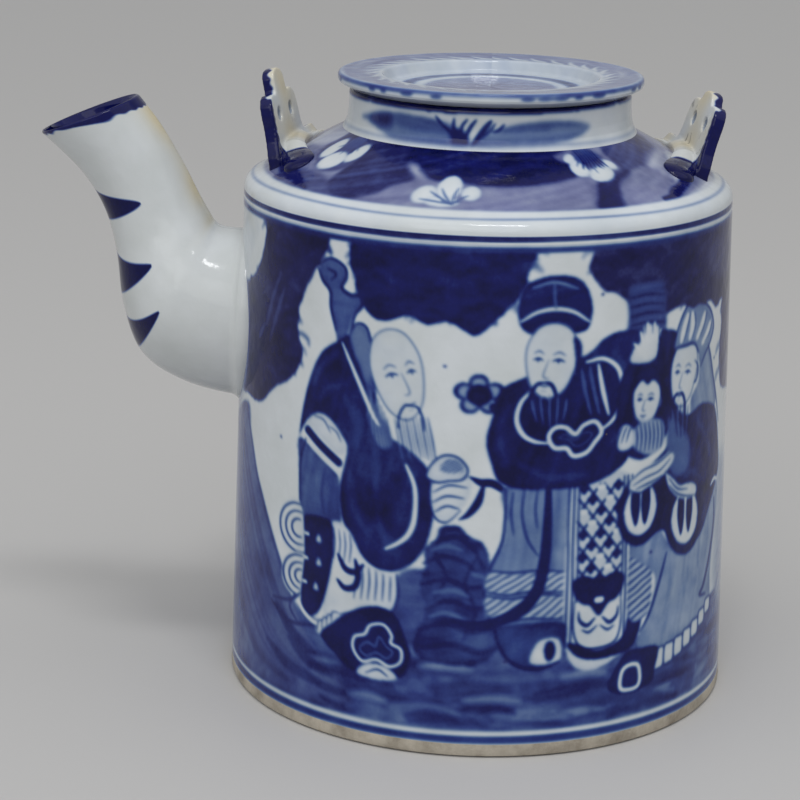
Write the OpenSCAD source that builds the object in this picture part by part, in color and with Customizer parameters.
// Cylindrical porcelain teapot with a short neck, a fat curved spout, two pierced
// handle lugs on the shoulder and a flat, dished, drop-in lid.
// Origin: centre of the foot's resting face, on the pot's axis. +Z up, spout towards -X.

/* [Body] */
// Outer radius of the body under the shoulder
body_r = 70; // [66:1:74]
// How much wider the radius is at the foot than under the shoulder
body_flare = 3.5; // [2:0.5:4.5]
// Height where the straight wall meets the rounded shoulder edge
wall_h = 145.3; // [135:0.1:150]
// Thickness of the thrown wall
wall_t = 5; // [4:0.5:6]
// Thickness of the floor slab
floor_t = 5; // [4:0.5:6]

/* [Foot] */
// Height of the bare, unglazed foot ring
foot_h = 3.8; // [3:0.1:5]
// Width of the foot ring
foot_w = 8; // [6:0.5:10]
// Bevel on the foot ring's two edges
foot_bevel = 0.9; // [0.5:0.1:1.2]

/* [Shoulder and neck] */
// Radius of the rounded edge between wall and shoulder
edge_r = 4; // [3:0.5:5]
// Slope of the shoulder above level, in degrees
slope = 28; // [24:1:30]
// Outer radius of the neck at its base
neck_r = 42; // [40:0.5:43]
// Height of the neck above the shoulder
neck_h = 11.2; // [9:0.1:13]
// Radius of the mouth
mouth_r = 36; // [34:0.5:37]

/* [Spout] */
// Thickness of the spout's wall
spout_t = 3.6; // [3:0.1:4.2]
// Roundness of the spout across its width, against its depth
spout_round = 0.94; // [0.85:0.01:1]
// Height of the strainer's centre
strainer_z = 106; // [104:1:108]
// Radius of the pierced strainer pad
strainer_r = 14; // [13:0.5:15]
// Radius of each strainer hole
hole_r = 2.2; // [1.8:0.1:2.4]
// Distance from the middle hole to the ring of holes
hole_ring = 8; // [7.5:0.1:8.5]

/* [Lugs] */
// Thickness of a lug's upright tab
lug_t = 3.6; // [3:0.2:4.4]
// Distance of a lug's root from the pot's axis
lug_x = 57.5; // [56:0.5:58.5]
// Outward lean of the spout-side lug, in degrees
lean_spout = 13; // [10:1:18]
// Outward lean of the far-side lug, in degrees
lean_far = 18; // [10:1:20]
// Turn of each lug about its own upright line, in degrees
lug_turn = 10; // [4:1:14]
// Radius of the two holes for the wire handles
wire_r = 2; // [1.8:0.1:2.2]
// Half the distance between the two wire holes
wire_gap = 6; // [5.5:0.1:6.5]

/* [Lid] */
// Outer radius of the lid
lid_r = 43.5; // [43:0.1:45]
// Thickness of the lid's edge
lid_edge = 2.7; // [2.4:0.1:3.2]
// Radius of the sunk well in the lid's top
well_r = 30.7; // [29.5:0.1:31]
// Depth of the sunk well
well_d = 3.5; // [3:0.1:3.8]
// Gap between the lid's collar and the mouth
lid_gap = 1; // [0.8:0.1:1.4]
// Depth of the collar under the lid
collar_d = 7; // [5:0.5:9]

/* [Hidden] */
$fn = 96;
foot_r = body_r + body_flare;
floor_z = foot_h + floor_t;
seat_z = wall_h - 2.3;
taper = body_flare / wall_h;
shoulder_r0 = body_r - edge_r + edge_r * cos(90 - slope);
shoulder_z0 = wall_h + edge_r * sin(90 - slope);
neck_z = shoulder_z0 + (shoulder_r0 - neck_r) * tan(slope);
lip_z = neck_z + neck_h;
lid_z = lip_z + 0.4;
collar_r = mouth_r - lid_gap;
collar_in = collar_r - 3.6;
hole_h = 12;

// Outer radius of the tapering wall at height z
function wall_r(z) = foot_r - taper * z;
// Height of the shoulder's outer slope at radius r
function slope_z(r) = shoulder_z0 + (shoulder_r0 - r) * tan(slope);

module foot_ring() {
    color("tan")
    rotate_extrude()
    polygon([
        [foot_r - foot_w, foot_bevel],
        [foot_r - foot_w + foot_bevel, 0],
        [foot_r - foot_bevel, 0],
        [foot_r, foot_bevel],
        [wall_r(foot_h), foot_h],
        [foot_r - foot_w, foot_h]
    ]);
}

module base_slab() {
    color("whitesmoke")
    rotate_extrude()
    polygon([
        [0, foot_h],
        [wall_r(foot_h), foot_h],
        [wall_r(floor_z), floor_z],
        [0, floor_z]
    ]);
}

module drum_shell(z0, z1) {
    rotate_extrude($fn = 180)
    polygon([
        [wall_r(z0), z0],
        [wall_r(z1), z1],
        [wall_r(z1) - wall_t, z1],
        [wall_r(z0 + 5) - wall_t, z0 + 5],
        [wall_r(z0) - wall_t - 1.5, z0 + 1.5],
        [wall_r(z0) - wall_t - 5, z0]
    ]);
}

module spout_port(r) {
    translate([-foot_r - 10, 0, strainer_z])
    rotate([0, 90, 0])
    cylinder(r = r, h = 40);
}

module drum_wall() {
    color("royalblue")
    difference() {
        drum_shell(floor_z, seat_z);
        spout_port(strainer_r);
    }
}

// The pierced pad of wall behind the spout: one hole in the middle and six round it
module strainer() {
    color("whitesmoke")
    difference() {
        intersection() {
            drum_shell(floor_z, seat_z);
            spout_port(strainer_r);
        }
        spout_port(hole_r);
        for (i = [0 : 5])
            translate([0, hole_ring * cos(60 * i), hole_ring * sin(60 * i)])
            spout_port(hole_r);
    }
}

module shoulder() {
    steps = 8;
    color("darkblue")
    rotate_extrude()
    polygon(concat(
        [[wall_r(seat_z), seat_z]],
        [for (i = [0 : steps])
            let (a = (90 - slope) * i / steps)
            [body_r - edge_r + edge_r * cos(a), wall_h + edge_r * sin(a)]],
        [[neck_r, neck_z], [mouth_r, neck_z]],
        [[mouth_r, neck_z - wall_t], [shoulder_r0 - 2.6, shoulder_z0 - wall_t],
         [wall_r(seat_z) - wall_t, seat_z]]
    ));
}

module neck_collar() {
    color("whitesmoke")
    rotate_extrude()
    polygon([
        [mouth_r, neck_z],
        [neck_r, neck_z],
        [neck_r - 0.7, neck_z + 1.4],
        [neck_r - 1.6, neck_z + 5],
        [neck_r - 1.8, lip_z - 1],
        [neck_r - 2.5, lip_z],
        [mouth_r + 0.6, lip_z],
        [mouth_r, lip_z - 0.6]
    ]);
}

// The spout's side outline, from the wall to the lip. Each row is one cross-section:
// its lowest point [x, z] and its highest point [x, z]
SPOUT = [
    [[-58, 82], [-58, 131]],
    [[-72, 82], [-70, 131]],
    [[-88, 86], [-76.5, 131.5]],
    [[-100, 94], [-79, 133]],
    [[-105.5, 108], [-80.5, 135.5]],
    [[-107.5, 124], [-83.5, 141]],
    [[-111, 137], [-88, 150]],
    [[-118, 148], [-94.5, 161]],
    [[-129, 158.5], [-101, 169.5]]
];
SUB = 4;

// A smooth curve through four points, at t from the second (0) to the third (1)
function through(a, b, c, d, t) =
    0.5 * (2 * b + (c - a) * t + (2 * a - 5 * b + 4 * c - d) * t * t
           + (3 * b - a - 3 * c + d) * t * t * t);
function row(i) = SPOUT[min(max(i, 0), len(SPOUT) - 1)];
function spout_edge(s, side) =
    let (i = min(floor(s), len(SPOUT) - 2), t = s - i)
    through(row(i - 1)[side], row(i)[side], row(i + 1)[side], row(i + 2)[side], t);
// A point of the cross-section at station s, at angle a round it, inset by the wall
function spout_point(s, a, inset) =
    let (lo = spout_edge(s, 0), hi = spout_edge(s, 1), mid = (lo + hi) / 2,
         half = norm(hi - lo) / 2, dir = (hi - lo) / (2 * half), r = half - inset,
         side = half * spout_round - inset)
    [mid[0] + dir[0] * r * cos(a), side * sin(a), mid[1] + dir[1] * r * cos(a)];

// The front moulded half of the spout: half a tube swept along the spout's curve
module spout_half() {
    arc = 14;
    rows = (len(SPOUT) - 1) * SUB;
    count = 2 * (arc + 1);
    function ring(j) = concat(
        [for (k = [0 : arc]) spout_point(j / SUB, -180 * k / arc, 0)],
        [for (k = [arc : -1 : 0]) spout_point(j / SUB, -180 * k / arc, spout_t)]);
    skin = [for (j = [0 : rows - 1], k = [0 : count - 1])
        let (a = j * count + k, b = j * count + (k + 1) % count)
        [a + count, b + count, b, a]];
    difference() {
        polyhedron(
            points = [for (j = [0 : rows]) each ring(j)],
            faces = concat(skin,
                [[for (k = [0 : count - 1]) k],
                 [for (k = [0 : count - 1]) rows * count + count - 1 - k]]),
            convexity = 6);
        cylinder(r1 = foot_r + 0.02, r2 = wall_r(160) + 0.02, h = 160, $fn = 180);
    }
}

module spout_front_half() {
    color("ghostwhite")
    spout_half();
}

module spout_back_half() {
    color("ghostwhite")
    mirror([0, 1, 0])
    spout_half();
}

// Everything below the shoulder's outer surface, for trimming what is luted onto it
module shoulder_core() {
    rotate_extrude($fn = 180)
    polygon([
        [0, 100],
        [body_r + 0.02, 100],
        [shoulder_r0 + 0.02, shoulder_z0 + 0.02],
        [neck_r + 0.02, neck_z + 0.02],
        [neck_r + 0.02, lip_z],
        [0, lip_z]
    ]);
}

// Scalloped outline of the tab: two rounded knees and a tall middle lobe
module tab_outline(peak) {
    half = [[17, -5], [16, 1], [14.4, 5], [13.6, 9], [13.6, 12.5], [13, 15.5], [11.4, 17.3],
            [9, 18], [6.6, 17.6], [5.4, 18.2], [5.2, peak - 2.6], [4, peak - 0.9],
            [2, peak - 0.2], [0, peak]];
    polygon(concat(half, [for (i = [len(half) - 2 : -1 : 0]) [-half[i][0], half[i][1]]]));
}

// One lug, standing on the shoulder on the +X side
module lug(lean, peak) {
    root_z = slope_z(lug_x) - 0.5;
    difference() {
        union() {
            translate([lug_x, 0, root_z])
            rotate([0, 0, lug_turn])
            rotate([0, lean, 0])
            translate([-lug_t / 2, 0, 0])
            rotate([90, 0, 90])
            linear_extrude(lug_t)
            tab_outline(peak);
            // the coil of clay at the tab's foot, with a scrolled end at each side
            rotate([0, 0, -21])
            rotate_extrude(angle = 42)
            translate([lug_x - 2, slope_z(lug_x) + 0.2])
            circle(r = 4.6, $fn = 32);
            for (s = [-1, 1])
                rotate([0, 0, 22 * s])
                translate([lug_x - 1.4, 0, slope_z(lug_x) - 0.4])
                sphere(r = 5.2, $fn = 32);
        }
        shoulder_core();
        for (s = [-1, 1])
            translate([lug_x, 0, root_z])
            rotate([0, 0, lug_turn])
            rotate([0, lean, 0])
            translate([-20, s * wire_gap, hole_h])
            rotate([0, 90, 0])
            cylinder(r = wire_r, h = 40);
    }
}

module spout_side_lug() {
    color("navy")
    mirror([1, 0, 0])
    lug(lean_spout, 24.6);
}

module far_side_lug() {
    color("navy")
    lug(lean_far, 21.2);
}

module lid_disc() {
    dip = 0.7;
    color("cornflowerblue")
    rotate_extrude()
    polygon([
        [0, lid_z - 3],
        [collar_in - 0.6, lid_z - 3],
        [collar_in, lid_z - 2.4],
        [collar_in, lid_z],
        [neck_r - 1.7, lid_z],
        [lid_r - 0.3, lid_z + 1.5],
        [lid_r, lid_z + 2.1],
        [lid_r, lid_z + 1.5 + lid_edge - 0.9],
        [lid_r - 0.3, lid_z + 1.5 + lid_edge - 0.3],
        [lid_r - 0.9, lid_z + 1.5 + lid_edge],
        [well_r + 0.4, lid_z + 1.5 + lid_edge - dip],
        [well_r, lid_z + 1.2 + lid_edge - dip],
        [well_r - 1.8, lid_z + 1.5 + lid_edge - dip - well_d],
        [0, lid_z + 1.5 + lid_edge - dip - well_d]
    ]);
}

module lid_collar() {
    color("whitesmoke")
    rotate_extrude()
    polygon([
        [collar_in, lid_z - collar_d + 0.5],
        [collar_in + 0.5, lid_z - collar_d],
        [collar_r - 0.8, lid_z - collar_d],
        [collar_r, lid_z - collar_d + 0.8],
        [collar_r, lid_z],
        [collar_in, lid_z]
    ]);
}

foot_ring();
base_slab();
drum_wall();
strainer();
shoulder();
neck_collar();
spout_front_half();
spout_back_half();
spout_side_lug();
far_side_lug();
lid_disc();
lid_collar();
